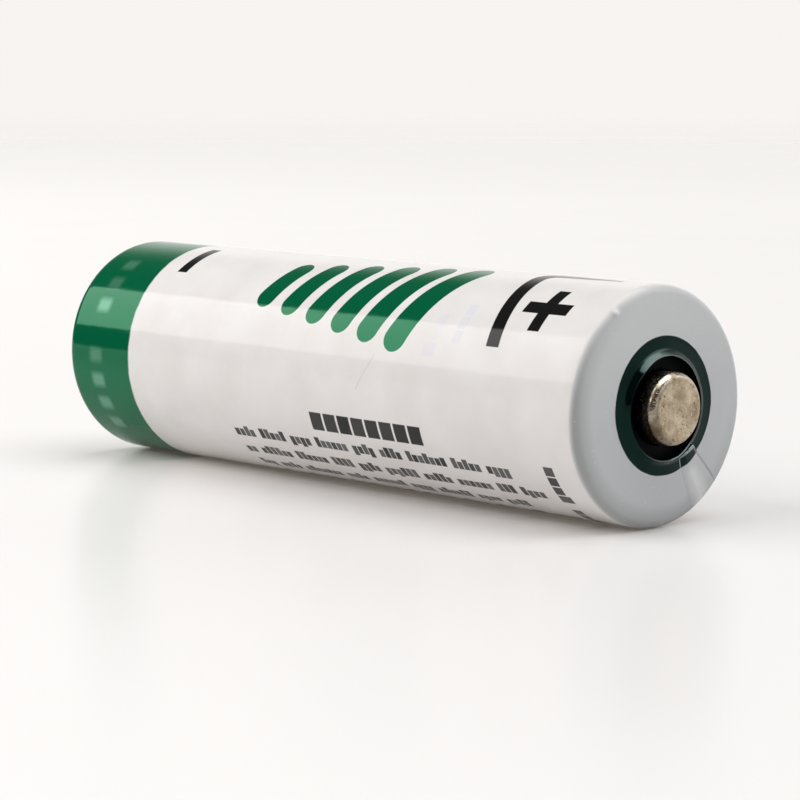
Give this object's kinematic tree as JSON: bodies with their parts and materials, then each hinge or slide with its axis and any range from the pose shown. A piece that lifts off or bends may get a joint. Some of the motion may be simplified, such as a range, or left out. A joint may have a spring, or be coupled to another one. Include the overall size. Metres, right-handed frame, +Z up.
{
  "type": "cylindrical battery cell",
  "caption": "Sealed cylindrical battery cell with a printed shrink sleeve, a button positive terminal and a flat negative contact on its can.",
  "frame": {"origin": "on the cell's axis at the face of the negative contact", "axes": "+X along the axis from the negative contact to the positive terminal; +Z up as the cell lies on its side"},
  "size_m": [0.0503, 0.0144, 0.0144],
  "materials": {
    "printed_film": "gloss white print under clear film",
    "can_steel": "drawn, nickel plated",
    "cover_steel": "pressed, satin",
    "seal_glass": "fused, dark blue green",
    "tube_steel": "drawn, satin",
    "ball_steel": "ground and polished",
    "washer_polymer": "moulded, very dark green",
    "terminal_nickel": "nickel plated, worn and pitted",
    "lithium_foil": "rolled foil, dull silver",
    "glass_fibre": "matt non-woven",
    "porous_carbon": "pressed, dusty black",
    "mesh_nickel": "expanded and rolled",
    "insulator_polymer": "punched sheet, off-white"
  },
  "bodies": {
    "root": {"shrink_sleeve": "printed_film", "can": "can_steel", "cover": "cover_steel", "glass_seal": "seal_glass", "feedthrough_tube": "tube_steel", "sealing_ball": "ball_steel", "closing_plug": "tube_steel", "insulating_washer": "washer_polymer", "positive_cap": "terminal_nickel", "lithium_anode": "lithium_foil", "separator_wrap": "glass_fibre", "separator_base": "glass_fibre", "separator_top": "glass_fibre", "carbon_cathode": "porous_carbon", "current_collector": "mesh_nickel", "collector_tab": "mesh_nickel", "top_insulator": "insulator_polymer"}
  },
  "joints": []
}
